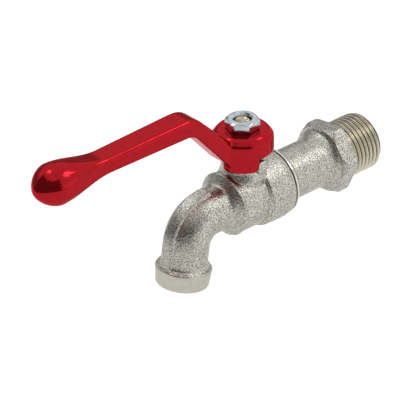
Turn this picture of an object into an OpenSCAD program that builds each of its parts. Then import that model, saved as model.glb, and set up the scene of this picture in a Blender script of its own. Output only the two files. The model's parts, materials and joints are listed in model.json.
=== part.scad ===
// Quarter-turn lever tap with a male pipe thread, for a garden or utility wall.
// Y runs along the pipe: the wall is at +Y, the spout at -Y, and Z is up.
// The origin is on the pipe axis, at the shoulder where the thread meets the hexagon.

/* [Inlet end piece] */
// Outer diameter of the male pipe thread
thread_d = 20.955; // [16:0.005:27]
// Length of the thread from the hexagon to its end
thread_l = 14.6; // [10:0.1:20]
// Chamfer at the thread's end
thread_chamfer = 1; // [0.5:0.1:1.5]
// Bore at the threaded end
inlet_bore_d = 15; // [11:0.1:15.8]
// Depth of that wider bore
inlet_bore_l = 17; // [12:0.5:22]
// Hexagon across its flats
hex_af = 23.6; // [21:0.1:28]
// Length of the hexagon's full corners
hex_l = 4.1; // [3:0.1:8]
// Length of the turned cone that breaks the hexagon's corners
hex_cone_l = 1.9; // [1:0.1:3]
// Angle that the hexagon was left at when the piece was tightened
hex_turn = 7; // [0:1:59]
// Outer diameter of the neck between the chamber and the hexagon
neck_d = 18.4; // [16.5:0.1:19.4]
// Length of the concave flare from the neck to the hexagon
flare_l = 4.6; // [3:0.1:6]
// Length of the turned collar that butts against the chamber
collar_l = 3.6; // [2:0.1:5]

/* [Waterway and ball] */
// Distance from the inlet shoulder to the stem axis
stem_reach = 42.1; // [38:0.1:52]
// Bore through the body, the ball and the end piece
water_d = 11; // [8:0.1:11.6]
// Diameter of the ball
ball_d = 18; // [17:0.1:20]
// Clearance round the ball in the chamber
ball_gap = 0.6; // [0.4:0.1:1.2]
// Running clearance between the ball and its seats
seat_gap = 0.04; // [0.02:0.01:0.08]
// Distance from the stem axis to the inner face of a seat
seat_x = 6.3; // [5.6:0.1:6.6]
// Thickness of a seat ring along the pipe
seat_t = 3; // [2.4:0.1:3.6]
// Radial width of a seat ring
seat_w = 3.1; // [2.4:0.1:3.4]

/* [Chamber] */
// Wall round the ball
chamber_wall = 1.6; // [1.4:0.1:3]
// How far the chamber's thread stands outside the ball's bore
joint_step = 0.75; // [0.5:0.05:1.2]
// Wall outside that thread
joint_wall = 2.3; // [1.6:0.1:3.5]
// Distance from the stem axis to the shoulder at the spout side
shoulder_x = 10.1; // [9.8:0.1:13]
// Distance from the stem axis to the step up to the thicker wall
step_x = 2.7; // [2:0.1:5]
// Distance from the stem axis to the chamber's open end
mouth_x = 13.8; // [12:0.1:17]

/* [Spout] */
// Outer diameter of the spout
spout_d = 16.1; // [15:0.1:19]
// Bore of the spout
spout_bore_d = 12; // [9:0.1:12.4]
// Distance from the stem axis to the start of the bend
bend_x = 16.5; // [15:0.1:22]
// Radius of the bend's centre line
bend_r = 9.6; // [9.2:0.1:16]
// Angle that the spout turns through
bend_a = 80.6; // [70:0.1:90]
// Straight length between the bend and the outlet band
drop_l = 7.7; // [5:0.1:20]
// Width of the flat rib along the outside of the bend
rib_w = 4.5; // [3:0.1:6]
// Height of that rib above the spout
rib_h = 0.7; // [0.4:0.1:1.2]
// Diameter of the outlet band at its top edge
band_top_d = 19.65; // [18:0.05:24]
// Diameter of the outlet band at its lower edge
band_low_d = 18.4; // [17.6:0.05:24]
// Length of the outlet band
band_l = 7.3; // [5:0.1:12]
// Diameter of the outlet's mouth
mouth_d = 13.6; // [12.6:0.1:14.5]
// Depth of the outlet's mouth
mouth_l = 9; // [6:0.1:12]

/* [Stem and seals] */
// Diameter of the stem
stem_d = 8; // [7:0.1:9]
// Running clearance of the stem in its bores
stem_gap = 0.06; // [0.03:0.01:0.09]
// Diameter of the stem's inner shoulder
stem_shoulder_d = 10.4; // [10:0.1:11.4]
// Thickness of the stem's inner shoulder
stem_shoulder_t = 1.2; // [1:0.1:1.6]
// Thickness of the tongue that turns the ball
tongue_t = 3; // [2.4:0.1:3.6]
// Width of the tongue
tongue_w = 7; // [5.5:0.1:8]
// Depth of the tongue in the ball
tongue_l = 2; // [1.4:0.1:2.4]
// Thickness of the thrust washer over the shoulder
thrust_t = 0.8; // [0.5:0.1:1.2]
// Length of plain bore between the thrust washer and the packing
bore_land = 2.5; // [2.2:0.1:4]
// Section diameter of the stem's sealing ring
ring_t = 1.3; // [1.1:0.1:1.5]
// Thickness of the packing ring
packing_t = 1.5; // [1:0.1:2.5]
// Diameter of the gland nut's thread
gland_thread_d = 12; // [11:0.1:13]
// Length of the gland nut's thread
gland_thread_l = 1.9; // [1.5:0.1:4]
// Gland nut across its flats
gland_af = 12.5; // [12:0.1:14]
// Height of the gland nut's head
gland_head_t = 3; // [2:0.1:3.6]

/* [Boss and stops] */
// Wall of the stem boss round the gland nut's thread
boss_wall = 1.6; // [1.3:0.1:2.5]
// Width of each stop lug
lug_w = 3.9; // [3:0.1:5]
// Height of each stop lug
lug_h = 4.7; // [4:0.1:5.5]
// Gap left between the lever's skirt and a stop lug
stop_gap = 0.1; // [0.05:0.01:0.2]

/* [Lever hub] */
// Gap between the boss and the inside of the lever's cap
cap_gap = 1; // [0.8:0.1:1.6]
// Wall of the cap
cap_wall = 2.05; // [1.8:0.05:3]
// Thickness of the cap's top
cap_top_t = 3; // [2.4:0.1:4]
// Height of the cone that breaks the cap's top edge
cap_cone_h = 2.3; // [1.6:0.1:2.6]
// Radial width of that cone
cap_cone_w = 2; // [1.6:0.1:2.4]
// Radius that rounds both ends of the cone
cap_round = 1.6; // [0.6:0.1:1.8]
// Height of the cap's ceiling above the boss
cap_rise = 6.2; // [5:0.1:8]
// Height of the cap's lower edge above the boss
cap_lift = 1.6; // [1:0.1:2.5]
// How far the skirt hangs below the top of the boss
skirt_drop = 2.9; // [2.5:0.1:3.6]
// Radius of the skirt's lower corners
skirt_round = 1.7; // [0.8:0.1:2]
// Stem across its flats in the lever
flats_af = 6.2; // [6.1:0.1:7]

/* [Lever arm] */
// Height of the arm's top face above the cap's top face
arm_rise = 14.3; // [10:0.1:24]
// Thickness of the arm beside the crank
arm_t = 6.2; // [5:0.1:8]
// Width of the arm beside the crank
arm_w = 9.7; // [8:0.1:12]
// Thickness of the arm beside the grip
waist_t = 5.4; // [4.5:0.1:7]
// Width of the arm beside the grip
waist_w = 8.8; // [7:0.1:10]
// How far the arm's middle falls from the crank to the lever's end
arm_sag = 1.2; // [0:0.1:3]
// Distance from the stem axis to the corner between the crank's underside and the arm's
crank_x = 25; // [23:0.5:34]
// Slope of the crank's underside
crank_a = 49.6; // [42:0.1:56]
// How much less the crank's top face slopes
crank_taper = 4.2; // [0:0.1:6]
// Thickness of the crank at that corner
crank_t = 5.2; // [4.5:0.1:7]
// Radius of the bend's outer face
crank_out_r = 9; // [6:0.1:12]
// Radius of the bend's inner face
crank_in_r = 6.3; // [3:0.1:9]
// Distance from the stem axis to the waist beside the grip
waist_x = 60; // [45:0.5:76]
// Distance from the stem axis to the grip's thickest place
grip_x = 79.5; // [64:0.5:100]
// Distance from the stem axis to the lever's end
lever_l = 87.1; // [72:0.1:110]
// Width of the grip
grip_w = 14.8; // [12:0.1:18]
// Thickness of the grip
grip_t = 13.9; // [11:0.1:18]
// Width of the rounding along the arm's upper edges
edge_w = 1.4; // [0.8:0.1:2]
// Height of that rounding
edge_h = 2.1; // [0.8:0.1:2.4]
// Radius of the arm's lower edges
low_round = 0.8; // [0.4:0.1:1.5]

/* [Lever nut] */
// Lever nut across its flats
nut_af = 10.5; // [9:0.1:13]
// Height of the lever nut
nut_h = 3.8; // [3:0.1:6]
// Thread diameter of the stem's end
nut_thread_d = 6; // [5:0.1:6.1]
// Angle that the nut was left at when it was tightened
nut_turn = 10; // [0:1:59]
// How far the stem's end lies below the nut's top
stem_short = 0.9; // [0:0.1:1.5]
// Clearance between fixed pieces that fit together
fit_gap = 0.03; // [0.02:0.01:0.06]

/* [Hidden] */
$fn = 64;

// A little more than a cut needs, so that it leaves no skin
over = 1;

// Where the stem axis stands
stem_y = -stem_reach;

// Radii of the ball, its cavity and the chamber
ball_r = ball_d/2;
cavity_r = ball_r + ball_gap;
front_r = cavity_r + chamber_wall;
joint_r = cavity_r + joint_step;
back_r = joint_r + joint_wall;
water_r = water_d/2;
seat_out_r = water_r + 0.3 + seat_w;
seat_in_r = water_r + 0.3;

// Roundings of the chamber's shoulder, step and mouth
shoulder_round = 1.6;
shoulder_fillet = 1.8;
step_l = 1.2;
step_r = back_r - 0.3;
mouth_round_l = 2.6;
mouth_r = back_r - 0.45;

// Levels up the stem, from the ball to the nut
shoulder_z = ball_r + 0.35;
thrust_z = shoulder_z + stem_shoulder_t + fit_gap;
recess_z = thrust_z + thrust_t + fit_gap;
packing_z = recess_z + bore_land;
gland_z = packing_z + packing_t + fit_gap;
boss_z = gland_z + gland_thread_l;
ceiling_z = boss_z + cap_rise;
cap_z = ceiling_z + cap_top_t;
nut_top_z = cap_z + fit_gap + nut_h;
stem_top_z = nut_top_z - stem_short;
cap_low_z = boss_z + cap_lift;
skirt_low_z = boss_z - skirt_drop;

// Radii round the stem axis
stem_r = stem_d/2;
stem_bore_r = stem_r + stem_gap;
gland_r = gland_thread_d/2;
boss_r = gland_r + boss_wall;
cap_in_r = boss_r + cap_gap;
cap_r = cap_in_r + cap_wall;
lug_r = cap_r - 0.45;
recess_r = stem_shoulder_d/2 + 0.2;

// The ring's groove in the stem
groove_r = stem_bore_r - ring_t + 0.04;
ring_z = recess_z + bore_land/2;
ring_major_r = (groove_r + stem_bore_r)/2;
ring_minor_r = (stem_bore_r - groove_r)/2 - fit_gap/2;

// The boss widens towards the chamber
boss_flare_r = boss_r + 1;
boss_flare_z = recess_z + 0.4;
boss_flare_low_z = boss_flare_z - 2.5;

// Where the end piece lies along the pipe
hex_y = -hex_l;
cone_y = hex_y - hex_cone_l;
mouth_y = stem_y + mouth_x;
collar_y = mouth_y + collar_l;
seat_y = stem_y + seat_x;

// The spout's radii and the far end of its bend
spout_r = spout_d/2;
spout_bore_r = spout_bore_d/2;
bend_y = stem_y - bend_x;
bend_end_y = bend_y - bend_r*sin(bend_a);
bend_end_z = -bend_r*(1 - cos(bend_a));

// The arm's faces, and the corners where the crank's faces would meet them
arm_top_z = cap_z + arm_rise;
arm_low_z = arm_top_z - arm_t;
crank_top_a = crank_a - crank_taper;
low_corner_y = stem_y - crank_x;
top_corner_y = low_corner_y + crank_t*sin(crank_top_a)
    - (arm_t - crank_t*cos(crank_top_a))/tan(crank_top_a);
out_l = crank_out_r*tan(crank_top_a/2);
in_l = crank_in_r*tan(crank_a/2);
crank_root_y = stem_y - cap_in_r + 0.2;

// Where the bend ends, the power of the curve round the grip's end, and its extra fall there
arm_x = crank_x + max(out_l, in_l) + 1;
end_power = 1.7;
tip_fall = 0.5;

// Points along an arc, from angle a0 to a1
function arc(cx, cy, r, a0, a1, n = 8) =
    [for (i = [0:n]) let (a = a0 + (a1 - a0)*i/n) [cx + r*cos(a), cy + r*sin(a)]];

// A smooth step from 0 to 1
function ease(t) = let (u = min(1, max(0, t))) u*u*(3 - 2*u);

// Stands its children's Z axis along the pipe
module along_pipe(y = 0) {
    translate([0, y, 0])
        rotate([-90, 0, 0])
            children();
}

// Puts its children on the stem axis
module on_stem(z = 0) {
    translate([0, stem_y, z])
        children();
}

// The bend's own frame: its turning axis is Z, and it starts on +X going towards +Y
module in_bend() {
    translate([0, bend_y, -bend_r])
        rotate([0, -90, 180])
            children();
}

// The outlet's frame: Z runs down the spout from the end of the bend, +Y is its outer side
module in_outlet(z = 0) {
    translate([0, bend_end_y, bend_end_z])
        rotate([90 + bend_a, 0, 0])
            translate([0, 0, z])
                children();
}

// A hexagonal bar with its corners along X, between two heights
module hex_bar(af, z0, z1) {
    translate([0, 0, z0])
        cylinder(r = af/2/cos(30), h = z1 - z0, $fn = 6);
}

// Outside of the ball chamber, as a turned outline along the pipe
module chamber_outside() {
    along_pipe(stem_y)
        rotate_extrude()
            polygon(concat(
                [[0, -bend_x]],
                [[spout_r, -bend_x]],
                arc(spout_r + shoulder_fillet, -shoulder_x - 2.4, shoulder_fillet, 180, 130, 5),
                arc(front_r - shoulder_round, -shoulder_x + shoulder_round, shoulder_round, -60, 0, 5),
                [[front_r, step_x - step_l/2]],
                [[step_r, step_x + step_l/2]],
                [[back_r, (step_x + mouth_x)/2]],
                [[back_r, mouth_x - mouth_round_l]],
                [[mouth_r, mouth_x]],
                [[0, mouth_x]]));
}

// Boss that carries the stem, its gland nut and the lever
module boss_outside() {
    on_stem()
        rotate_extrude()
            polygon([
                [0, 0],
                [boss_flare_r, 0],
                [boss_flare_r, boss_flare_low_z],
                [boss_r, boss_flare_z],
                [boss_r, boss_z],
                [0, boss_z]]);
}

// Two pads on the boss that stop the lever's skirt
module stop_lugs() {
    lug_round = 1.3;
    for (side = [-1, 1])
        on_stem()
            intersection() {
                translate([side*lug_r/2, 0, boss_z - lug_h/2])
                    rotate([0, 90, 0])
                        linear_extrude(height = lug_r, center = true)
                            polygon(concat(
                                arc(lug_h/2 - lug_round, lug_w/2 - lug_round, lug_round, 0, 90, 4),
                                arc(-lug_h/2 + lug_round, lug_w/2 - lug_round, lug_round, 90, 180, 4),
                                arc(-lug_h/2 + lug_round, -lug_w/2 + lug_round, lug_round, 180, 270, 4),
                                arc(lug_h/2 - lug_round, -lug_w/2 + lug_round, lug_round, 270, 360, 4)));
                cylinder(r = lug_r, h = boss_z + over);
            }
}

// Outside of the bent spout, with its rib and outlet band
module spout_outside() {
    band_edge = 0.5;
    in_bend()
        rotate_extrude(angle = bend_a)
            translate([bend_r, 0])
                circle(r = spout_r);
    in_bend()
        rotate_extrude(angle = bend_a)
            translate([bend_r + spout_r - 1.5, -rib_w/2])
                square([1.5 + rib_h, rib_w]);
    in_outlet()
        cylinder(r = spout_r, h = drop_l + band_l/2);
    in_outlet()
        translate([-rib_w/2, spout_r - 1.5, 0])
            cube([rib_w, 1.5 + rib_h, drop_l + band_edge]);
    in_outlet(drop_l)
        rotate_extrude()
            polygon([
                [0, 0],
                [band_top_d/2 - 0.3, 0],
                [band_top_d/2, 0.3],
                [band_low_d/2, band_l - band_edge],
                [band_low_d/2 - band_edge, band_l],
                [0, band_l]]);
}

// One forging: chamber, stem boss, stop lugs, bent spout and outlet band
module body() {
    color("#b9b4a6")
        difference() {
            union() {
                chamber_outside();
                boss_outside();
                stop_lugs();
                spout_outside();
            }
            // Cavity for the ball, threaded bore for the end piece and pocket for the outlet seat
            along_pipe(stem_y - seat_x)
                cylinder(r = cavity_r, h = seat_x + step_x + step_l);
            along_pipe(stem_y + step_x + step_l/2)
                cylinder(r = joint_r, h = mouth_x);
            along_pipe(stem_y - seat_x - seat_t - fit_gap)
                cylinder(r = seat_out_r + fit_gap, h = seat_t + over);
            // Waterway through the shoulder, round the bend and out
            along_pipe(stem_y - bend_x)
                cylinder(r = spout_bore_r, h = bend_x - seat_x);
            in_bend()
                rotate_extrude(angle = bend_a)
                    translate([bend_r, 0])
                        circle(r = spout_bore_r);
            in_outlet()
                cylinder(r = spout_bore_r, h = drop_l + band_l + over);
            in_outlet(drop_l + band_l - mouth_l)
                cylinder(r = mouth_d/2, h = mouth_l + over);
            // Stem bore, with the recess for its shoulder and the thread for the gland nut
            on_stem(0)
                cylinder(r = stem_bore_r, h = boss_z + over);
            on_stem(0)
                cylinder(r = recess_r, h = recess_z);
            on_stem(packing_z)
                cylinder(r = gland_r, h = boss_z);
        }
}

// Threaded inlet with hexagon, neck and collar, screwed into the chamber
module inlet_piece() {
    thread_r = thread_d/2;
    neck_r = neck_d/2;
    screw_r = joint_r - fit_gap;
    collar_r = mouth_r;
    hex_r = hex_af/2/cos(30);
    flare_out_r = hex_af/2 - 0.1;
    color("#c4bfb0")
        difference() {
            union() {
                // Screwed sleeve that presses the inlet seat, collar, neck and flare
                along_pipe()
                    rotate_extrude()
                        polygon(concat(
                            [[0, seat_y]],
                            [[screw_r, seat_y]],
                            [[screw_r, mouth_y]],
                            [[collar_r, mouth_y]],
                            [[collar_r - 0.55, mouth_y + collar_l*0.55]],
                            [[collar_r - 1.5, mouth_y + collar_l*0.85]],
                            [[neck_r, collar_y]],
                            [[neck_r, cone_y - flare_l]],
                            [for (i = [1:8])
                                let (t = i/8)
                                [neck_r + (flare_out_r - neck_r)*(1 - cos(90*t)),
                                 cone_y - flare_l*(1 - sin(90*t))]],
                            [[flare_out_r, cone_y + 0.6]],
                            [[0, cone_y + 0.6]]));
                // Hexagon, its corners broken by a turned cone towards the neck
                along_pipe()
                    intersection() {
                        rotate([0, 0, -hex_turn])
                            hex_bar(hex_af, cone_y, 0);
                        rotate_extrude()
                            polygon([
                                [0, cone_y],
                                [hex_af/2 + 0.1, cone_y],
                                [hex_r - 0.2, hex_y],
                                [hex_r - 0.2, -0.5],
                                [hex_r - 0.9, 0],
                                [0, 0]]);
                    }
                // Blank of the pipe thread
                along_pipe()
                    rotate_extrude()
                        polygon([
                            [0, -over],
                            [thread_r, -over],
                            [thread_r, thread_l - thread_chamfer],
                            [thread_r - thread_chamfer, thread_l],
                            [0, thread_l]]);
            }
            // Waterway, the wider bore at the thread and the pocket for the inlet seat
            along_pipe(seat_y - over)
                cylinder(r = water_r, h = stem_reach + thread_l);
            along_pipe(thread_l - inlet_bore_l)
                cylinder(r = inlet_bore_d/2, h = inlet_bore_l + over);
            along_pipe(seat_y - over)
                cylinder(r = seat_out_r + fit_gap, h = seat_t + fit_gap + over);
        }
}

// Ring with a spherical face that seals against the ball, on one side of it
module seat_ring(side) {
    color("#f2f1ea")
        difference() {
            on_stem()
                rotate([-90*side, 0, 0])
                    translate([0, 0, seat_x])
                        difference() {
                            cylinder(r = seat_out_r, h = seat_t);
                            translate([0, 0, -over])
                                cylinder(r = seat_in_r, h = seat_t + 2*over);
                        }
            on_stem()
                sphere(r = ball_r + seat_gap);
        }
}

module outlet_seat() {
    seat_ring(-1);
}

module inlet_seat() {
    seat_ring(1);
}

// Ball with its waterway along the pipe and a slot for the stem's tongue
module ball() {
    slot_gap = 0.1;
    color("#d8dade")
        difference() {
            on_stem()
                sphere(r = ball_r);
            along_pipe(stem_y - ball_r - over)
                cylinder(r = water_r, h = ball_d + 2*over);
            on_stem(ball_r - tongue_l - slot_gap)
                translate([-ball_r, -tongue_t/2 - slot_gap, 0])
                    cube([ball_d, tongue_t + 2*slot_gap, ball_r]);
        }
}

// Stem: tongue, inner shoulder, groove for its ring, flats for the lever and threaded end
module stem() {
    thread_r = nut_thread_d/2 - fit_gap;
    end_chamfer = 0.6;
    color("#c9b27a")
        union() {
            on_stem(ball_r - tongue_l)
                translate([-tongue_w/2, -tongue_t/2, 0])
                    cube([tongue_w, tongue_t, shoulder_z - ball_r + tongue_l + 0.2]);
            on_stem()
                rotate_extrude()
                    polygon([
                        [0, shoulder_z],
                        [stem_shoulder_d/2, shoulder_z],
                        [stem_shoulder_d/2, shoulder_z + stem_shoulder_t],
                        [stem_r, shoulder_z + stem_shoulder_t],
                        [stem_r, ring_z - ring_t/2],
                        [groove_r, ring_z - ring_t/2],
                        [groove_r, ring_z + ring_t/2],
                        [stem_r, ring_z + ring_t/2],
                        [stem_r, ceiling_z - fit_gap],
                        [0, ceiling_z - fit_gap]]);
            on_stem(ceiling_z - over)
                intersection() {
                    cylinder(r = stem_r, h = cap_top_t + over - 0.2);
                    translate([-stem_r, -flats_af/2, 0])
                        cube([stem_d, flats_af, cap_top_t + over]);
                }
            on_stem()
                rotate_extrude()
                    polygon([
                        [0, ceiling_z],
                        [thread_r, ceiling_z],
                        [thread_r, stem_top_z - end_chamfer],
                        [thread_r - end_chamfer, stem_top_z],
                        [0, stem_top_z]]);
        }
}

// Washer that the stem's shoulder turns against
module thrust_washer() {
    color("#efeee6")
        on_stem(thrust_z)
            difference() {
                cylinder(d = stem_shoulder_d, h = thrust_t);
                translate([0, 0, -over])
                    cylinder(r = stem_bore_r, h = thrust_t + 2*over);
            }
}

// Sealing ring in the stem's groove
module stem_o_ring() {
    color("#262626")
        on_stem(ring_z)
            rotate_extrude()
                translate([ring_major_r, 0])
                    circle(r = ring_minor_r);
}

// Packing under the gland nut
module packing_ring() {
    color("#efeee6")
        on_stem(packing_z)
            difference() {
                cylinder(r = gland_r - fit_gap, h = packing_t);
                translate([0, 0, -over])
                    cylinder(r = stem_bore_r, h = packing_t + 2*over);
            }
}

// Hollow nut that presses the packing, hidden in the lever's cap
module gland_nut() {
    color("#c8a765")
        difference() {
            union() {
                on_stem(gland_z)
                    cylinder(r = gland_r - fit_gap, h = gland_thread_l + over);
                on_stem(boss_z + fit_gap)
                    intersection() {
                        hex_bar(gland_af, 0, gland_head_t);
                        cylinder(r1 = gland_af/2 + 2.6, r2 = gland_af/2, h = gland_head_t);
                    }
            }
            on_stem(gland_z - over)
                cylinder(r = stem_bore_r, h = gland_thread_l + gland_head_t + 3*over);
        }
}

// A flat bar's section, its upper edges rounded w wide and h high and its lower edges by r
function bar_section(hw, ht, w, h, r) = concat(
    [for (p = arc(0, 0, 1, 0, 90, 5)) [hw - w + w*p[0], ht - h + h*p[1]]],
    [for (p = arc(0, 0, 1, 90, 180, 5)) [-hw + w + w*p[0], ht - h + h*p[1]]],
    arc(-hw + r, -ht + r, r, 180, 270, 5),
    arc(hw - r, -ht + r, r, 270, 360, 5));

// A point of the handle's side view where the bend has still to turn through part t of its angle
function bend_point(y, z, r, a) = [y + r*sin(a), z + r*(cos(a) - 1)];

// A point on a face of the crank, at a distance y along the pipe
function face_point(y, corner_y, corner_z, a) = [y, corner_z - (y - corner_y)*tan(a)];

// The crank and its bend, as pairs of points on its upper and lower faces
crank_pairs = concat(
    [[face_point(crank_root_y, top_corner_y, arm_top_z, crank_top_a),
      face_point(crank_root_y, low_corner_y, arm_low_z, crank_a)]],
    [for (i = [0:8])
        let (t = 1 - i/8)
        [bend_point(top_corner_y - out_l, arm_top_z, crank_out_r, crank_top_a*t),
         bend_point(low_corner_y - in_l, arm_low_z, crank_in_r, crank_a*t)]]);

// Stations of the handle: [y, z, slope, half width, half thickness, edge w, edge h, lower radius]
crank_stations = [for (p = crank_pairs)
    let (d = p[0] - p[1])
    [(p[0][0] + p[1][0])/2, (p[0][1] + p[1][1])/2, atan2(d[0], d[1]), arm_w/2, norm(d)/2,
     edge_w, edge_h, low_round]];

// How far along the grip a distance from the stem is, 0 at the waist and 1 at the thickest place
function grip_at(x) = ease((x - waist_x)/(grip_x - waist_x));

// Size of the rounded end, 1 at the grip's thickest place and 0 at its tip
function end_at(x) =
    x <= grip_x ? 1 : pow(1 - pow((x - grip_x)/(lever_l - grip_x), end_power), 1/end_power);

// The arm and the grip, as stations of the same form
function arm_station(x) =
    let (g = grip_at(x),
         e = end_at(x),
         t = min(1, (x - arm_x)/(waist_x - arm_x)),
         hw = e*((arm_w + (waist_w - arm_w)*t)*(1 - g) + grip_w*g)/2,
         ht = e*((arm_t + (waist_t - arm_t)*t)*(1 - g) + grip_t*g)/2,
         fall = arm_sag*(x - arm_x)/(lever_l - arm_x) + tip_fall*(1 - e))
    [stem_y - x, arm_top_z - arm_t/2 - fall, 0, hw, ht,
     e*(edge_w*(1 - g) + 0.49*grip_w*g), e*(edge_h*(1 - g) + 0.49*grip_t*g),
     e*(low_round*(1 - g) + 0.48*grip_t*g)];

arm_stations = concat(
    [for (i = [0:4]) arm_station(arm_x + (waist_x - arm_x)*i/5)],
    [for (i = [0:10]) arm_station(waist_x + (grip_x - waist_x)*i/10)],
    [for (i = [1:7]) arm_station(grip_x + (lever_l - grip_x)*sin(90*i/7.4))]);

// The handle from the hub to the grip's end, one solid through all the stations
module handle() {
    stations = concat(crank_stations, arm_stations);
    n = len(bar_section(2, 2, 1, 1, 1));
    rings = len(stations);
    points = [for (s = stations)
        for (p = bar_section(s[3], s[4], s[5], s[6], s[7]))
            [p[0], s[0] + p[1]*sin(s[2]), s[1] + p[1]*cos(s[2])]];
    sides = [for (k = [0:rings - 2])
        for (i = [0:n - 1])
            [k*n + i, (k + 1)*n + i, (k + 1)*n + (i + 1)%n, k*n + (i + 1)%n]];
    first = [for (i = [0:n - 1]) i];
    last = [for (i = [0:n - 1]) rings*n - 1 - i];
    polyhedron(points = points, faces = concat([first], sides, [last]), convexity = 6);
}

// Outside of the hub: a cap whose top edge is broken by a cone, rounded at both ends
module cap_outside() {
    cone_a = atan2(cap_cone_w, cap_cone_h);
    flat_r = cap_r - cap_cone_w;
    on_stem()
        rotate_extrude()
            polygon(concat(
                [[0, cap_low_z]],
                [[cap_r, cap_low_z]],
                arc(cap_r - cap_round, cap_z - cap_cone_h - cap_round*tan(cone_a/2), cap_round,
                    0, cone_a, 4),
                arc(flat_r - cap_round*tan(45 - cone_a/2), cap_z - cap_round, cap_round,
                    cone_a, 90, 4),
                [[0, cap_z]]));
}

// Outline of the skirt seen along its middle, with its lower corners rounded
module skirt_outline(half_w) {
    polygon(concat(
        arc(half_w - skirt_round, skirt_low_z + skirt_round, skirt_round, 0, -90, 4),
        arc(-half_w + skirt_round, skirt_low_z + skirt_round, skirt_round, -90, -180, 4),
        [[-half_w, cap_low_z + 0.5]],
        [[half_w, cap_low_z + 0.5]]));
}

// Die-cast lever: cap over the boss, skirt that meets the stop lugs, crank, arm and grip
module lever() {
    end_x = lug_w/2 + stop_gap;
    lug_clear_z = boss_z + 0.5;
    corner_x = sqrt(cap_r*cap_r - end_x*end_x);
    color("#b5161f")
        union() {
            difference() {
                union() {
                    cap_outside();
                    handle();
                }
                on_stem(skirt_low_z - over)
                    cylinder(r = cap_in_r, h = ceiling_z - skirt_low_z + over);
                // Room for the lugs under the cap, and under the crank beside the skirt
                on_stem(skirt_low_z - 2*over)
                    cylinder(r = lug_r + 0.15, h = lug_clear_z - skirt_low_z + 2*over);
                on_stem(skirt_low_z - 2*over)
                    translate([-arm_w, -2*cap_r, 0])
                        cube([arm_w + end_x, 2*cap_r, lug_clear_z - skirt_low_z + 2*over]);
                on_stem(ceiling_z - over)
                    intersection() {
                        cylinder(r = stem_r + fit_gap, h = cap_top_t + 2*over);
                        translate([-stem_d, -flats_af/2 - fit_gap, 0])
                            cube([2*stem_d, flats_af + 2*fit_gap, cap_top_t + 2*over]);
                    }
            }
            // Skirt: a quarter of the cap's wall carried down, cut back from both stops
            on_stem()
                intersection() {
                    difference() {
                        translate([0, 0, skirt_low_z - over])
                            cylinder(r = cap_r, h = cap_low_z - skirt_low_z + 2*over);
                        translate([0, 0, skirt_low_z - 2*over])
                            cylinder(r = cap_in_r, h = cap_low_z - skirt_low_z + 4*over);
                    }
                    translate([end_x, -end_x - cap_r, skirt_low_z - over])
                        cube([cap_r, cap_r, cap_low_z - skirt_low_z + 2*over]);
                    rotate([90, 0, 45])
                        linear_extrude(height = 2*cap_r)
                            skirt_outline((corner_x - end_x)/sqrt(2) + 0.2);
                }
        }
}

// Hexagon nut that clamps the lever, chamfered on both faces
module lever_nut() {
    // The chamfers' cones meet outside the corners
    cone_r = nut_af/2/cos(30) + 0.3;
    flat_r = 0.92*nut_af/2;
    edge_t = (cone_r - flat_r)*tan(30);
    thread_r = nut_thread_d/2 + fit_gap;
    sink = 0.6;
    color("#c3ccd3")
        on_stem(cap_z + fit_gap)
            difference() {
                intersection() {
                    rotate([0, 0, nut_turn])
                        hex_bar(nut_af, 0, nut_h);
                    rotate_extrude()
                        polygon([
                            [0, 0],
                            [flat_r, 0],
                            [cone_r, edge_t],
                            [cone_r, nut_h - edge_t],
                            [flat_r, nut_h],
                            [0, nut_h]]);
                }
                rotate_extrude()
                    polygon([
                        [0, -over],
                        [thread_r, -over],
                        [thread_r, nut_h - sink],
                        [thread_r + sink, nut_h],
                        [thread_r + sink, nut_h + over],
                        [0, nut_h + over]]);
            }
}

body();
inlet_piece();
outlet_seat();
inlet_seat();
ball();
stem();
thrust_washer();
stem_o_ring();
packing_ring();
gland_nut();
lever();
lever_nut();
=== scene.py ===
import json
from math import atan2, cos, pi, radians, sin, sqrt, tan, tau

import bmesh
import bpy
from mathutils import Matrix, Vector


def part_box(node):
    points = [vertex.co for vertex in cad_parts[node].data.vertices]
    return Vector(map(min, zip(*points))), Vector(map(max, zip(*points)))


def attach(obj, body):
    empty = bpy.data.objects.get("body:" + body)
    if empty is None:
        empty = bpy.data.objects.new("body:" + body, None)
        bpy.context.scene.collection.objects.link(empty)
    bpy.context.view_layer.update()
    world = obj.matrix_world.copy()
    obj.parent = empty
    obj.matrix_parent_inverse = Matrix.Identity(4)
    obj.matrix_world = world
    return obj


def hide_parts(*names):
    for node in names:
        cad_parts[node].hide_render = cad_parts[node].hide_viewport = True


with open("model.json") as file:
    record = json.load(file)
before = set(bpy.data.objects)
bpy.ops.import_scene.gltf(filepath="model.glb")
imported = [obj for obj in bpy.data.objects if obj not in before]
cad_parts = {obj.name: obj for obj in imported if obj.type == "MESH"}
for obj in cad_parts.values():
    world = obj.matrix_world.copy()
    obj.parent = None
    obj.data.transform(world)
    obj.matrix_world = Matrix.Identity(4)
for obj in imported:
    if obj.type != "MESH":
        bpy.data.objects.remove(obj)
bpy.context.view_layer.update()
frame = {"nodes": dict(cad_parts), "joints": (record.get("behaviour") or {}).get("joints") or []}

# Camera and studio. The tap is seen from its right-hand side and a little above, from about
# 0.74 m away with a long lens. It stands in a white tent on a pale floor. The tent is open on the
# camera's side and dim low on the left, so bright faces show dark panes there. Soft boxes shine in.
mm = 0.001
look_at = Vector((0, -61.59, 5.99))*mm
camera_distance = 736.3*mm
camera_azimuth, camera_elevation, camera_roll = 49.889, 31.233, -1.437

def unit(azimuth, elevation):
    """The direction from the tap towards a point: azimuth 0 is -Y and 90 is +X, in degrees"""
    a, e = radians(azimuth), radians(elevation)
    return Vector((sin(a)*cos(e), -cos(a)*cos(e), sin(e)))

def facing(direction, roll=0):
    """Turns a camera or a lamp so that it looks back along a direction"""
    turn = direction.to_track_quat("Z", "Y").to_matrix() @ Matrix.Rotation(radians(roll), 3, "Z")
    return turn.to_4x4()

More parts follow.
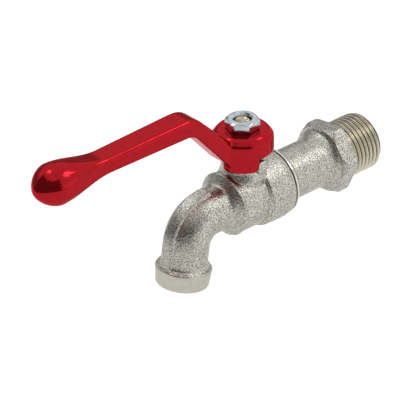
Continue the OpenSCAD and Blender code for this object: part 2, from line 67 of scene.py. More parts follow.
camera = bpy.data.objects.new("camera", bpy.data.cameras.new("camera"))
bpy.context.scene.collection.objects.link(camera)
camera.data.sensor_fit = "HORIZONTAL"
camera.data.sensor_width = 36
camera.data.lens = 196.996
towards_camera = unit(camera_azimuth, camera_elevation)
camera.matrix_world = (Matrix.Translation(look_at + towards_camera*camera_distance)
                       @ facing(towards_camera, camera_roll))
bpy.context.scene.camera = camera
bpy.context.scene.view_settings.view_transform = "Standard"

def soft_box(name, azimuth, elevation, width, height, radiance, distance=0.9):
    """A rectangular lamp that faces the tap, as bright as its radiance says"""
    lamp = bpy.data.lights.new(name, "AREA")
    lamp.shape = "RECTANGLE"
    lamp.size = width
    lamp.size_y = height
    lamp.energy = radiance*pi*width*height
    holder = bpy.data.objects.new(name, lamp)
    direction = unit(azimuth, elevation)
    holder.matrix_world = Matrix.Translation(look_at + direction*distance) @ facing(direction)
    holder.visible_camera = False
    bpy.context.scene.collection.objects.link(holder)

soft_box("back_box", 144, 47, 0.26, 0.26, 3.2)
soft_box("left_box", -60, 62, 0.2, 0.2, 4)
soft_box("right_sheet", 115, 8, 0.7, 0.3, 0.25)

def new_material(name, **settings):
    """A procedural material with its node tree and Principled shader, set as told"""
    material = bpy.data.materials.new(name)
    material.use_nodes = True
    tree = material.node_tree
    shader = tree.nodes["Principled BSDF"]
    for key, value in settings.items():
        shader.inputs[key.replace("_", " ")].default_value = value
    return material, tree, shader

def add_node(tree, kind, links=None, **settings):
    """Adds a node: settings are its options or its inputs' values, links feed its inputs"""
    node = tree.nodes.new(kind)
    for key, value in settings.items():
        if hasattr(node, key):
            setattr(node, key, value)
        else:
            node.inputs[key.replace("_", " ")].default_value = value
    for socket, source in (links or {}).items():
        tree.links.new(source, node.inputs[socket])
    return node

def maths(tree, operation, first, second=None, third=None):
    """A Math node's output: each term is a socket or a number"""
    node = add_node(tree, "ShaderNodeMath", operation=operation)
    for k, term in enumerate((first, second, third)):
        if isinstance(term, bpy.types.NodeSocket):
            tree.links.new(term, node.inputs[k])
        elif term is not None:
            node.inputs[k].default_value = term
    return node.outputs[0]

def soft_step(tree, value, start, end):
    """0 where the value is at start, 1 where it is at end, smooth between"""
    node = add_node(tree, "ShaderNodeMapRange", {"Value": value}, interpolation_type="SMOOTHSTEP",
                    From_Min=start, From_Max=end)
    return node.outputs["Result"]

world = bpy.data.worlds.new("tent")
bpy.context.scene.world = world
world.use_nodes = True
tent = world.node_tree
tent.nodes.clear()
tent_light = 0.8
window_light, window_place, window_half = 0.13, (15, 17), (68, 32)
side_light, side_place, side_half = 0.3, (-105, -6), (55, 28)
towards = add_node(tent, "ShaderNodeSeparateXYZ",
                   {0: add_node(tent, "ShaderNodeTexCoord").outputs["Generated"]})
seen_azimuth = maths(tent, "ARCTAN2", towards.outputs["X"],
                     maths(tent, "MULTIPLY", towards.outputs["Y"], -1))
seen_elevation = maths(tent, "ARCSINE", towards.outputs["Z"])

def dim_pane(light, place, half, softness=5):
    """The tent's light with one dimmer pane: its place and half size are azimuth and elevation"""
    masks = []
    for angle, middle, reach in zip((seen_azimuth, seen_elevation), place, half):
        away = maths(tent, "ABSOLUTE", maths(tent, "SUBTRACT", angle, radians(middle)))
        masks.append(soft_step(tent, away, radians(reach - softness), radians(reach + softness)))
    outside = maths(tent, "MAXIMUM", *masks)
    return maths(tent, "MULTIPLY_ADD", outside, tent_light - light, light)

strength = maths(tent, "MINIMUM", dim_pane(window_light, window_place, window_half),
                 dim_pane(side_light, side_place, side_half))
cloth = add_node(tent, "ShaderNodeBackground", {"Strength": strength}, Color=(1, 1, 1, 1))
paper = add_node(tent, "ShaderNodeBackground", Color=(1, 1, 1, 1), Strength=1)
seen = add_node(tent, "ShaderNodeLightPath")
backdrop = add_node(tent, "ShaderNodeMixShader",
                    {0: seen.outputs["Is Camera Ray"], 1: cloth.outputs[0], 2: paper.outputs[0]})
add_node(tent, "ShaderNodeOutputWorld", {"Surface": backdrop.outputs[0]})

floor_z, floor_half = -50*mm, 450*mm
floor_bm = bmesh.new()
bmesh.ops.create_grid(floor_bm, x_segments=1, y_segments=1, size=floor_half)
bmesh.ops.translate(floor_bm, vec=(0, look_at.y, floor_z), verts=floor_bm.verts)
floor_mesh = bpy.data.meshes.new("floor")
floor_bm.to_mesh(floor_mesh)
floor_bm.free()
floor = bpy.data.objects.new("floor", floor_mesh)
bpy.context.scene.collection.objects.link(floor)
floor_paint, floor_tree, floor_shader = new_material(
    "pale_floor", Base_Color=(0.86, 0.86, 0.86, 1), Roughness=0.9, Specular_IOR_Level=0)
seen = add_node(floor_tree, "ShaderNodeLightPath")
seen_glow, mirrored_glow = 0.6, 0.2
lift = maths(floor_tree, "MULTIPLY_ADD", seen.outputs["Is Camera Ray"], seen_glow,
             maths(floor_tree, "MULTIPLY", seen.outputs["Is Glossy Ray"], mirrored_glow))
glow = add_node(floor_tree, "ShaderNodeEmission", {"Strength": lift}, Color=(1, 1, 1, 1))
both = add_node(floor_tree, "ShaderNodeAddShader", {0: floor_shader.outputs[0], 1: glow.outputs[0]})
floor_tree.links.new(both.outputs[0], floor_tree.nodes["Material Output"].inputs["Surface"])
floor.data.materials.append(floor_paint)

# Body: one forging in brass with the ball chamber, the stem boss, two stop lugs and the bent
# spout, shot-blasted and nickel-plated. Its ends and bores are turned after forging.
stem = Vector(frame["joints"][0]["pos_m"])
stem_y = stem.y/mm

def arc(x, y, r, start, end, steps=6):
    """Points along an arc, angles in degrees"""
    angles = [radians(start + (end - start)*i/steps) for i in range(steps + 1)]
    return [(x + r*cos(a), y + r*sin(a)) for a in angles]

def rounded(corners, steps=6):
    """An outline through corners (x, y, radius), each rounded by its radius"""
    outline = []
    for i, (x, y, r) in enumerate(corners):
        if not r or i in (0, len(corners) - 1):
            outline.append((x, y))
            continue
        here = Vector((x, y))
        before = (Vector(corners[i - 1][:2]) - here).normalized()
        after = (Vector(corners[i + 1][:2]) - here).normalized()
        half = before.angle(after)/2
        centre = here + (before + after).normalized()*r/sin(half)
        start = here + before*r/tan(half) - centre
        turn = start.angle_signed(here + after*r/tan(half) - centre)
        for k in range(steps + 1):
            spoke = Matrix.Rotation(-turn*k/steps, 2) @ start
            outline.append(tuple(centre + spoke))
    return outline

def along_pipe(y=0):
    """Places a turned piece with its axis on the pipe, from millimetres to metres"""
    return Matrix.Scale(mm, 4) @ Matrix.Translation((0, y, 0)) @ Matrix.Rotation(-pi/2, 4, "X")

def on_stem(z=0):
    """Places a turned piece on the stem axis"""
    return Matrix.Scale(mm, 4) @ Matrix.Translation((0, stem_y, z))

def turned(outline, place, segments=96):
    """A solid turned from an outline of (radius, height) points that starts and ends on the axis"""
    bm = bmesh.new()
    verts = [bm.verts.new((r, 0, z)) for r, z in outline]
    edges = [bm.edges.new(pair) for pair in zip(verts, verts[1:])]
    bmesh.ops.spin(bm, geom=verts + edges, axis=(0, 0, 1), cent=(0, 0, 0), angle=tau,
                   steps=segments, use_merge=True)
    bmesh.ops.remove_doubles(bm, verts=bm.verts, dist=1e-5)
    bmesh.ops.recalc_face_normals(bm, faces=bm.faces)
    bmesh.ops.transform(bm, matrix=place, verts=bm.verts)
    return bm

def piece(name, bm, finishes, finish=0):
    """Makes an object of a bmesh, all of it in one of its finishes"""
    for face in bm.faces:
        face.material_index = finish
        face.smooth = True
    mesh = bpy.data.meshes.new(name)
    for paint in finishes:
        mesh.materials.append(paint)
    bm.to_mesh(mesh)
    bm.free()
    made = bpy.data.objects.new(name, mesh)
    bpy.context.scene.collection.objects.link(made)
    return made

def settle(made):
    """Bakes an object's modifiers into its mesh"""
    bpy.context.view_layer.update()
    graph = bpy.context.evaluated_depsgraph_get()
    mesh = bpy.data.meshes.new_from_object(made.evaluated_get(graph))
    made.modifiers.clear()
    made.data = mesh
    return made

def combine(base, others, operation):
    """Joins the others to the base, or cuts them from it, and removes them"""
    for other in others:
        tool = base.modifiers.new("tool", "BOOLEAN")
        tool.object = other
        tool.operation = operation
        tool.solver = "EXACT"
    settle(base)
    for other in others:
        bpy.data.objects.remove(other)
    return base

def cast(made, grain, passes):
    """Turns overlapping forms into one skin with soft corners, as a forging or a casting has"""
    skin = made.modifiers.new("skin", "REMESH")
    skin.mode = "VOXEL"
    skin.voxel_size = grain*mm
    skin.use_smooth_shade = True
    soften = made.modifiers.new("soften", "SMOOTH")
    soften.factor = 0.5
    soften.iterations = passes
    return settle(made)

def softened(made, width, segments=2, limit=30):
    """Breaks an object's sharp edges by a small bevel"""
    edge = made.modifiers.new("edge", "BEVEL")
    edge.width = width*mm
    edge.segments = segments
    edge.limit_method = "ANGLE"
    edge.angle_limit = radians(limit)
    edge.harden_normals = False
    return settle(made)

def crisp(made, angle=35):
    """Keeps an object's edges sharp above an angle, and its flat faces flat beside rounded edges"""
    made.data.set_sharp_from_angle(angle=radians(angle))
    flat = made.modifiers.new("flat", "WEIGHTED_NORMAL")
    flat.keep_sharp = True
    return settle(made)

def joined(name, parts, finishes):
    """One object from several overlapping bmeshes"""
    whole = bmesh.new()
    for part in parts:
        mesh = bpy.data.meshes.new("part")
        part.to_mesh(mesh)
        part.free()
        whole.from_mesh(mesh)
        bpy.data.meshes.remove(mesh)
    return piece(name, whole, finishes)

def object_point(tree):
    return add_node(tree, "ShaderNodeTexCoord").outputs["Object"]

def noise(tree, point, scale, detail=2, roughness=0.5):
    return add_node(tree, "ShaderNodeTexNoise", {"Vector": point}, Scale=scale, Detail=detail,
                    Roughness=roughness).outputs["Fac"]

def ramp(tree, value, *stops):
    """A colour ramp over (place, colour) stops"""
    node = add_node(tree, "ShaderNodeValToRGB", {"Fac": value})
    band = node.color_ramp
    while len(band.elements) < len(stops):
        band.elements.new(0.5)
    for element, (place, colour) in zip(band.elements, stops):
        element.position = place
        element.color = (*colour, 1)
    return node.outputs["Color"]

def relief(tree, height, depth, strength=1):
    """A bump that is depth millimetres deep where the height goes from 0 to 1"""
    return add_node(tree, "ShaderNodeBump", {"Height": height}, Strength=strength,
                    Distance=depth*mm).outputs["Normal"]

def blasted_nickel(name, pale, dark, depth):
    """Nickel plate over a shot-blasted surface: pits about half a millimetre wide"""
    paint, tree, shader = new_material(name, Metallic=1, Roughness=0.25)
    point = object_point(tree)
    pits = noise(tree, point, 2200, 2, 0.7)
    grain = maths(tree, "MULTIPLY_ADD", noise(tree, point, 220), 0.08, pits)
    height = maths(tree, "MULTIPLY_ADD", noise(tree, point, 3600, 1), 0.3, pits)
    tree.links.new(ramp(tree, grain, (0.46, dark), (0.61, pale)), shader.inputs["Base Color"])
    tree.links.new(relief(tree, height, depth), shader.inputs["Normal"])
    return paint

def turned_nickel(name, colour, roughness):
    """Nickel plate over a turned surface"""
    paint, tree, shader = new_material(name, Metallic=1, Roughness=roughness)
    point = object_point(tree)
    mottle = noise(tree, point, 500, 3, 0.6)
    tree.links.new(ramp(tree, mottle, (0.3, [c*0.9 for c in colour]), (0.7, colour)),
                   shader.inputs["Base Color"])
    tree.links.new(relief(tree, noise(tree, point, 1800), 0.01), shader.inputs["Normal"])
    return paint

forged_and_turned = [
    blasted_nickel("blasted_nickel", (0.75, 0.74, 0.66), (0.3, 0.29, 0.255), 0.13),
    turned_nickel("turned_nickel", (0.68, 0.66, 0.58), 0.34)]

spout_r, spout_bore_r = 8.05, 6
bend_y, bend_r, bend_a = stem_y - 16.5, 9.6, radians(80.6)
drop_l, band_l = 7.7, 7.3
chamber_front_r, chamber_back_r, chamber_mouth_r, chamber_mouth_x = 11.2, 12.65, 12.2, 13.8
front_bead_r = 0.8
boss_z, boss_r = 17.34, 7.6
lug_w, lug_h, lug_r = 3.9, 4.7, 10.2

chamber = turned(
    [(0, -16.5), (spout_r, -16.5)]
    + arc(spout_r + 1.8, -12.5, 1.8, 180, 125)
    + arc(chamber_front_r - front_bead_r, -8.6, front_bead_r + 0.3, -70, 50, 8)
    + [(chamber_front_r, -7.4), (chamber_front_r, 2.4), (chamber_back_r - 0.2, 3.1),
       (chamber_back_r, 8),
       (chamber_back_r, chamber_mouth_x - 2.6), (chamber_mouth_r, chamber_mouth_x),
       (0, chamber_mouth_x)],
    along_pipe(stem_y))
boss = turned([(0, 0), (boss_r + 1, 0), (boss_r + 1, 9.5), (boss_r, 12.3), (boss_r, boss_z),
               (0, boss_z)], on_stem())

def stop_lug(side):
    """A pad with rounded corners that stands out of the boss on one side"""
    bm = bmesh.new()
    low = boss_z - lug_h
    outline = rounded([(0, boss_z, 0), (lug_w/2, boss_z, 1.3), (lug_w/2, low, 1.3),
                       (-lug_w/2, low, 1.3), (-lug_w/2, boss_z, 1.3), (0, boss_z, 0)])[:-1]
    face = bm.faces.new([bm.verts.new((0, stem_y + y, z)) for y, z in outline])
    pulled(bm, [face], (side*lug_r, 0, 0))
    bmesh.ops.scale(bm, vec=(mm, mm, mm), verts=bm.verts)
    return bm

def pulled(bm, faces, way):
    """Pulls faces out along a way, and makes the whole mesh face outwards"""
    out = bmesh.ops.extrude_face_region(bm, geom=faces)["geom"]
    bmesh.ops.translate(bm, vec=way, verts=[v for v in out if isinstance(v, bmesh.types.BMVert)])
    bmesh.ops.recalc_face_normals(bm, faces=bm.faces)

def down_spout(section, overrun):
    """Carries a closed section, seen looking along the pipe, round the bend and down the spout"""
    bm = bmesh.new()
    face = bm.faces.new([bm.verts.new((x, bend_y, z)) for x, z in section])
    spun = bmesh.ops.spin(bm, geom=[face], axis=(1, 0, 0), cent=(0, bend_y, -bend_r),
                          angle=bend_a, steps=40)
    last = [part for part in spun["geom_last"] if isinstance(part, bmesh.types.BMFace)]
    pulled(bm, last, Vector((0, -cos(bend_a), -sin(bend_a)))*(drop_l + overrun))
    bmesh.ops.scale(bm, vec=(mm, mm, mm), verts=bm.verts)
    return bm

def in_outlet(z=0):
    """Places a turned piece in the spout's outlet, its axis down the spout from the bend's end"""
    return (Matrix.Scale(mm, 4)
            @ Matrix.Translation((0, bend_y - bend_r*sin(bend_a), -bend_r*(1 - cos(bend_a))))
            @ Matrix.Rotation(pi/2 + bend_a, 4, "X") @ Matrix.Translation((0, 0, z)))

spout = down_spout(arc(0, 0, spout_r, 0, 352.5, 47), overrun=3)
rib = down_spout([(-2.25, 6), (2.25, 6), (2.25, spout_r + 0.95), (-2.25, spout_r + 0.95)],
                 overrun=0.5)
shoulder = turned(rounded([(0, -2, 0), (spout_r - 0.2, -2, 0), (spout_r + 0.2, 0.1, 1.2),
                           (9.62, 0.7, 0.3), (9.62, 3, 0.3), (9, 4, 0), (0, 4, 0)]),
                  in_outlet(drop_l))
forging = joined("body_forging", [chamber, boss, spout, rib, shoulder], forged_and_turned)
cast(forging, grain=0.25, passes=4)
combine(forging, [softened(piece("stop_lug", stop_lug(side), forged_and_turned), 0.4, 3)
                  for side in (-1, 1)], "UNION")

# The outlet's band is turned after forging, and so are all the bores
band = piece("band", turned(
    rounded([(0, 0.6, 0), (8.6, 0.6, 0), (9.82, 1.15, 0.12), (9.2, band_l, 0.6), (0, band_l, 0)]),
    in_outlet(drop_l)), forged_and_turned, 1)
combine(forging, [band], "UNION")
chamber_bore = turned([(0, -9.36), (8.93, -9.36), (8.93, -6.3), (9.6, -6.3), (9.6, 3.3),
                       (10.35, 3.3), (10.35, 15), (0, 15)], along_pipe(stem_y))
front_bore = turned([(0, -16.6), (spout_bore_r, -16.6), (spout_bore_r, -6), (0, -6)],
                    along_pipe(stem_y))
bend_bore = down_spout(arc(0, 0, spout_bore_r, 0, 352.5, 47), overrun=1)
mouth_bore = turned(rounded([(0, -1.7, 0), (6, -1.7, 0), (6.8, -1.2, 0), (6.8, band_l - 0.5, 0),
                             (7.4, band_l + 0.1, 0), (7.4, band_l + 1, 0), (0, band_l + 1, 0)]),
                    in_outlet(drop_l))
stem_bore = turned([(0, 0), (5.4, 0), (5.4, 11.48), (4.06, 11.48), (4.06, 13.94), (6, 13.94),
                    (6, boss_z - 0.4), (6.4, boss_z + 0.1), (6.4, 20), (0, 20)], on_stem())
combine(forging, [piece("bore", bore, forged_and_turned, 1) for bore in
                  (chamber_bore, front_bore, bend_bore, mouth_bore, stem_bore)], "DIFFERENCE")
crisp(forging)
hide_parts("body")
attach(forging, "tap")

# Ball and seats: a chromed and polished brass ball turns between two white PTFE rings. They drop
# into the chamber from its open end, before the end piece closes it.
def dressed(node, paint):
    """Gives a node of the frame its finish"""
    materials = frame["nodes"][node].data.materials
    materials.clear()
    materials.append(paint)

def moulded(name, pale, dark, roughness, scale, depth):
    """A plain moulded stuff with a faint mottle"""
    paint, tree, shader = new_material(name, Roughness=roughness)
    mottle = noise(tree, object_point(tree), scale, 3)
    tree.links.new(ramp(tree, mottle, (0.3, dark), (0.7, pale)), shader.inputs["Base Color"])
    tree.links.new(relief(tree, mottle, depth), shader.inputs["Normal"])
    return paint

ptfe = moulded("ptfe", (0.88, 0.87, 0.84), (0.8, 0.79, 0.75), 0.42, 700, 0.01)
chrome = turned_nickel("polished_chrome", (0.78, 0.79, 0.8), 0.08)
dressed("ball", chrome)
dressed("outlet_seat", ptfe)
dressed("inlet_seat", ptfe)

# End piece: brass bar turned to a collar, a neck and a hexagon, blasted and plated like the
# body and screwed into its chamber. The pipe thread is cut last, so it shows more of the brass.
thread_r, thread_l, thread_pitch = 10.4775, 14.6, 25.4/14
hex_af, hex_l, hex_cone_l, hex_turn = 23.6, 4.1, 1.9, radians(7)
neck_r, flare_l, collar_l = 9.2, 4.6, 3.6
collar_y = stem_y + chamber_mouth_x
cone_y = -hex_l - hex_cone_l
hex_corner_r = hex_af/2/cos(pi/6)

thread_depth = 1.16
seam_w, seam_r, edge_ring_r, edge_ring_end = 0.5, 11.1, 12.05, 1.3

def cut_thread(shaded_root_colour, crest):
    """Bare cut metal, bright on the crests, with painted shade that darkens the roots"""
    paint, tree, shader = new_material("cut_thread", Metallic=1, Roughness=0.27)
    point = object_point(tree)
    place = add_node(tree, "ShaderNodeSeparateXYZ", {0: point})
    x, z = place.outputs["X"], place.outputs["Z"]
    radius = maths(tree, "SQRT", maths(tree, "MULTIPLY_ADD", x, x, maths(tree, "MULTIPLY", z, z)))
    jittered_radius = maths(tree, "MULTIPLY_ADD", noise(tree, point, 400, 3), 0.3*mm, radius)
    # Painted shade: the colour darkens from the crests down into the thread's roots, the edge jittered by
    # noise
    out_of_root_shade = soft_step(tree, jittered_radius, (thread_r - thread_depth + 0.1)*mm, (thread_r - 0.1)*mm)
    tree.links.new(ramp(tree, out_of_root_shade, (0, shaded_root_colour), (1, crest)), shader.inputs["Base Color"])
    tree.links.new(relief(tree, noise(tree, point, 1800), 0.015), shader.inputs["Normal"])
    return paint

bar_finishes = [
    blasted_nickel("blasted_bar", (0.74, 0.73, 0.66), (0.3, 0.29, 0.255), 0.12),
    turned_nickel("bored_brass", (0.7, 0.62, 0.42), 0.3),
    # The thread's first colour is painted shade for its roots, the second its bare crests
    cut_thread((0.12, 0.1, 0.07), (0.78, 0.73, 0.6)),
    turned_nickel("bright_edge", (0.82, 0.81, 0.76), 0.2),
    moulded("sealant", (0.36, 0.19, 0.14), (0.14, 0.1, 0.08), 0.6, 300, 0.1)]
blasted, bored, cut, bright, sealed = range(len(bar_finishes))

def threaded(root_r, crest_r, pitch, low, high, place, chamfer, finishes, segments=72):
    """A rod with a helical thread from low to high, its far end bevelled by the chamfer"""
    bm = bmesh.new()
    flank = (crest_r - root_r)*tan(radians(27.5))
    crest_w = pitch*0.16
    profile = rounded([(root_r, 0, 0), (root_r, (pitch - crest_w)/2 - flank, pitch*0.12),
                       (crest_r, (pitch - crest_w)/2, pitch*0.1),
                       (crest_r, (pitch + crest_w)/2, pitch*0.1),
                       (root_r, (pitch + crest_w)/2 + flank, pitch*0.12), (root_r, pitch, 0)], 2)
    start = low - 2*pitch
    verts = [bm.verts.new((r, 0, start + z)) for r, z in profile]
    edges = [bm.edges.new(pair) for pair in zip(verts, verts[1:])]
    turns = int((high - low)/pitch) + 4
    bmesh.ops.spin(bm, geom=verts + edges, axis=(0, 0, 1), cent=(0, 0, 0), angle=tau*turns,
                   steps=segments*turns, dvec=(0, 0, pitch/segments))
    bmesh.ops.remove_doubles(bm, verts=bm.verts, dist=1e-4)
    for z, way in ((low, -1), (high, 1)):
        bmesh.ops.bisect_plane(bm, geom=bm.verts[:] + bm.edges[:] + bm.faces[:],
                               plane_co=(0, 0, z), plane_no=(0, 0, way), clear_outer=True)
    rims = [edge for edge in bm.edges if edge.is_boundary]
    bmesh.ops.holes_fill(bm, edges=rims, sides=0)
    bmesh.ops.recalc_face_normals(bm, faces=bm.faces)
    bmesh.ops.transform(bm, matrix=place, verts=bm.verts)
    rod = piece("threaded_rod", bm, finishes, cut)
    envelope = turned([(0, low - 1), (crest_r + 0.01, low - 1), (crest_r + 0.01, high - chamfer),
                       (crest_r - chamfer, high), (0, high)], place)
    return combine(rod, [piece("envelope", envelope, finishes, cut)], "INTERSECT")

end_bar = turned(
    rounded([(0, -35.8, 0), (10.32, -35.8, 0), (10.32, collar_y, 0)])
    + rounded([(seam_r, collar_y, 0), (seam_r, collar_y + seam_w, 0),
               (edge_ring_r, collar_y + seam_w, 0.12), (edge_ring_r, collar_y + edge_ring_end, 0.2),
               (edge_ring_r - 0.75, collar_y + edge_ring_end + 0.15, 0),
               (chamber_mouth_r - 1.1, collar_y + 2.6, 1.5), (neck_r, collar_y + collar_l, 0.8),
               (neck_r, cone_y - flare_l, 2), (neck_r, cone_y - flare_l + 0.3, 0)])
    + [(neck_r + (hex_af/2 - 0.1 - neck_r)*(1 - cos(radians(90)*k/8)),
        cone_y - flare_l*(1 - sin(radians(90)*k/8))) for k in range(1, 9)]
    + [(hex_af/2 - 0.1, cone_y + 0.6), (0, cone_y + 0.6)], along_pipe())
end_piece = piece("end_piece", end_bar, bar_finishes)
for face in end_piece.data.polygons:
    beyond = face.center.y/mm - collar_y
    if -0.01 < beyond < seam_w + 0.01 and Vector((face.center.x, face.center.z)).length < 11.2*mm:
        face.material_index = sealed
    elif seam_w - 0.01 < beyond < edge_ring_end + 0.1:
        face.material_index = bright

def hexagon(across_flats, low, high, turn):
    """A hexagonal bar with a corner on +X before it is turned"""
    bm = bmesh.new()
    bmesh.ops.create_circle(bm, cap_ends=True, segments=6, radius=across_flats/2/cos(pi/6),
                            matrix=Matrix.Rotation(turn + pi/2, 4, "Z"))
    bmesh.ops.translate(bm, vec=(0, 0, low), verts=bm.verts)
    pulled(bm, bm.faces[:], (0, 0, high - low))
    return bm

hex_bar = hexagon(hex_af, cone_y, 0, -hex_turn)
bmesh.ops.transform(hex_bar, matrix=along_pipe(), verts=hex_bar.verts)
hex_nut = piece("hex", hex_bar, bar_finishes)
hex_cone = turned([(0, cone_y - 0.1), (hex_af/2 + 0.1, cone_y - 0.1), (hex_corner_r - 0.2, -hex_l),
                   (hex_corner_r - 0.2, -0.5), (hex_corner_r - 0.9, 0.1), (0, 0.1)], along_pipe())
combine(hex_nut, [piece("hex_cone", hex_cone, bar_finishes)], "INTERSECT")
softened(hex_nut, 0.18)
pipe_thread = threaded(thread_r - thread_depth, thread_r, thread_pitch, -0.5, thread_l, along_pipe(), 1,
                       bar_finishes)
combine(end_piece, [hex_nut, pipe_thread], "UNION")
waterway = turned([(0, -37), (8.93, -37), (8.93, -32.77), (5.5, -32.77), (5.5, thread_l - 17),
                   (7.5, thread_l - 17), (7.5, thread_l - 0.5), (8, thread_l + 0.1), (8, 16),
                   (0, 16)], along_pipe())
combine(end_piece, [piece("waterway", waterway, bar_finishes, bored)], "DIFFERENCE")
crisp(end_piece)
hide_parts("inlet_piece")
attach(end_piece, "tap")

# Stem: turned brass, pushed up through the boss from inside. A PTFE washer and a rubber ring seal
# it below, and a packing ring under the gland nut above. Its end is centre-drilled and threaded.
def turned_brass(name, pale, dark, roughness):
    """Brass with fine rings left by the turning tool across the stem's axis"""
    paint, tree, shader = new_material(name, Metallic=1, Roughness=roughness)
    point = object_point(tree)
    stretched = add_node(tree, "ShaderNodeMapping", {"Vector": point}, Scale=(0.05, 0.05, 1))
    rings = noise(tree, stretched.outputs["Vector"], 4000, 3)
    stain = noise(tree, point, 350, 3)
    tree.links.new(ramp(tree, stain, (0.3, dark), (0.7, pale)), shader.inputs["Base Color"])
    tree.links.new(relief(tree, rings, 0.02), shader.inputs["Normal"])
    return paint

stem_brass = turned_brass("turned_brass", (0.62, 0.56, 0.43), (0.3, 0.26, 0.19), 0.2)
stem_bm = bmesh.new()
stem_bm.from_mesh(frame["nodes"]["stem"].data)
bmesh.ops.remove_doubles(stem_bm, verts=stem_bm.verts, dist=1e-6)
stem_rod = piece("stem_rod", stem_bm, [stem_brass])
stem_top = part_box("stem")[1].z/mm
drilled_r, drilled_depth = 2.1, 1.1
drilled = turned([(0, stem_top - drilled_depth), (drilled_r, stem_top - 0.15),
                  (drilled_r + 0.3, stem_top + 0.2), (0, stem_top + 0.2)], on_stem())
combine(stem_rod, [piece("drilled", drilled, [stem_brass])], "DIFFERENCE")
crisp(stem_rod, 25)
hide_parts("stem")
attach(stem_rod, "handle")
dressed("gland_nut", stem_brass)
dressed("packing_ring", ptfe)
dressed("thrust_washer", ptfe)
dressed("stem_o_ring", moulded("seal_rubber", (0.03, 0.03, 0.03), (0.015, 0.015, 0.016), 0.45, 900, 0.02))

# Lever: one zinc die casting in glossy red enamel. Its cap fits over the boss, a skirt hangs
# between the stop lugs, and a crank lifts the arm over the spout to a fat rounded grip.
cap_z, cap_r, cap_in_r, ceiling_z = 26.54, 10.65, 8.6, 23.54
cap_low_z, skirt_low_z = 18.94, 14.44
cap_cone_h, cap_cone_w, cap_round = 2.3, 2, 1.6
arm_top_z, arm_t, arm_w = cap_z + 14.3, 6.2, 9.7
waist_x, waist_t, waist_w, grip_x, lever_l = 60, 5.4, 8.8, 79.5, 87.1
grip_w, grip_t, arm_sag, tip_fall = 14.8, 13.9, 1.2, 0.5
edge_w, edge_h, low_round = 1.4, 2.1, 0.8
crank_x, crank_a, crank_t = 25, radians(49.6), 5.2
crank_top_a, crank_out_r, crank_in_r = radians(45.4), 9, 6.3
stop_gap = 0.1

red_enamel, red_tree, red_shader = new_material(
    "red_enamel", Metallic=0.85, Roughness=0.13, Specular_IOR_Level=0.2,
    Specular_Tint=(1, 0.45, 0.45, 1), Coat_Weight=0.12, Coat_Roughness=0.04)
flow = noise(red_tree, object_point(red_tree), 600, 2)
red_tree.links.new(ramp(red_tree, flow, (0.3, (0.47, 0.008, 0.015)), (0.7, (0.53, 0.01, 0.019))),
                   red_shader.inputs["Base Color"])
red_tree.links.new(relief(red_tree, flow, 0.02), red_shader.inputs["Normal"])

def ease(t):
    """A smooth step from 0 to 1"""
    t = min(1, max(0, t))
    return t*t*(3 - 2*t)

def bar_ring(bm, y, z, slope, half_w, half_t, w, h, r):
    """A ring of the handle's section: upper edges rounded w wide and h high, lower ones by r"""
    top = [(half_w - w + w*x, half_t - h + h*y) for x, y in arc(0, 0, 1, 0, 90, 8)]
    low = [(half_w - r + r*x, r - half_t + r*y) for x, y in arc(0, 0, 1, -90, 0, 8)]
    right = low + top
    section = right + [(-x, up) for x, up in reversed(right)]
    verts = [bm.verts.new((x, y + up*sin(slope), z + up*cos(slope))) for x, up in section]
    return [bm.edges.new(pair) for pair in zip(verts, verts[1:] + verts[:1])]

low_corner = Vector((-crank_x, arm_top_z - arm_t))
top_corner = Vector((low_corner.x + crank_t*sin(crank_top_a)
                     - (arm_t - crank_t*cos(crank_top_a))/tan(crank_top_a), arm_top_z))

def crank_pair(t):
    """Points on the crank's upper and lower faces where it has still to turn by part t"""
    pair = []
    for corner, radius, slope in ((top_corner, crank_out_r, crank_top_a),
                                  (low_corner, crank_in_r, crank_a)):
        start = corner.x - radius*tan(slope/2)
        pair.append(Vector((start + radius*sin(slope*t), corner.y - radius*(1 - cos(slope*t)))))
    return pair

def crank_end(along):
    """The same two points further down the crank, at a distance from the stem"""
    return [Vector((along, corner.y - (along - corner.x)*tan(slope)))
            for corner, slope in ((top_corner, crank_top_a), (low_corner, crank_a))]

handle = bmesh.new()
rings = []
for high, low in [crank_end(-cap_in_r + 0.4), crank_end(-cap_in_r - 4)] + [
        crank_pair(1 - k/14) for k in range(15)]:
    middle, across = (high + low)/2, high - low
    rings.append(bar_ring(handle, stem_y + middle.x, middle.y, atan2(across.x, across.y),
                          arm_w/2, across.length/2, edge_w, edge_h, low_round))
arm_x = crank_x + max(crank_out_r*tan(crank_top_a/2), crank_in_r*tan(crank_a/2)) + 1
stations = ([arm_x + (waist_x - arm_x)*k/10 for k in range(10)]
            + [waist_x + (grip_x - waist_x)*k/24 for k in range(24)]
            + [grip_x + (lever_l - grip_x)*sin(radians(90)*k/20) for k in range(20)]
            + [lever_l - 0.004])
for x in stations:
    fat = ease((x - waist_x)/(grip_x - waist_x))
    end = 1 if x <= grip_x else (1 - ((x - grip_x)/(lever_l - grip_x))**1.7)**(1/1.7)
    along = min(1, (x - arm_x)/(waist_x - arm_x))
    half_w = end*((arm_w + (waist_w - arm_w)*along)*(1 - fat) + grip_w*fat)/2
    half_t = end*((arm_t + (waist_t - arm_t)*along)*(1 - fat) + grip_t*fat)/2
    fall = arm_sag*(x - arm_x)/(lever_l - arm_x) + tip_fall*(1 - end)
    rings.append(bar_ring(handle, stem_y - x, arm_top_z - arm_t/2 - fall, 0, half_w, half_t,
                          end*(edge_w*(1 - fat) + 0.49*grip_w*fat),
                          end*(edge_h*(1 - fat) + 0.49*grip_t*fat),
                          end*(low_round*(1 - fat) + 0.48*grip_t*fat)))
for ring, following in zip(rings, rings[1:]):
    bmesh.ops.bridge_loops(handle, edges=ring + following)
for ring in (rings[0], rings[-1]):
    bmesh.ops.edgeloop_fill(handle, edges=ring)
bmesh.ops.recalc_face_normals(handle, faces=handle.faces)
bmesh.ops.scale(handle, vec=(mm, mm, mm), verts=handle.verts)

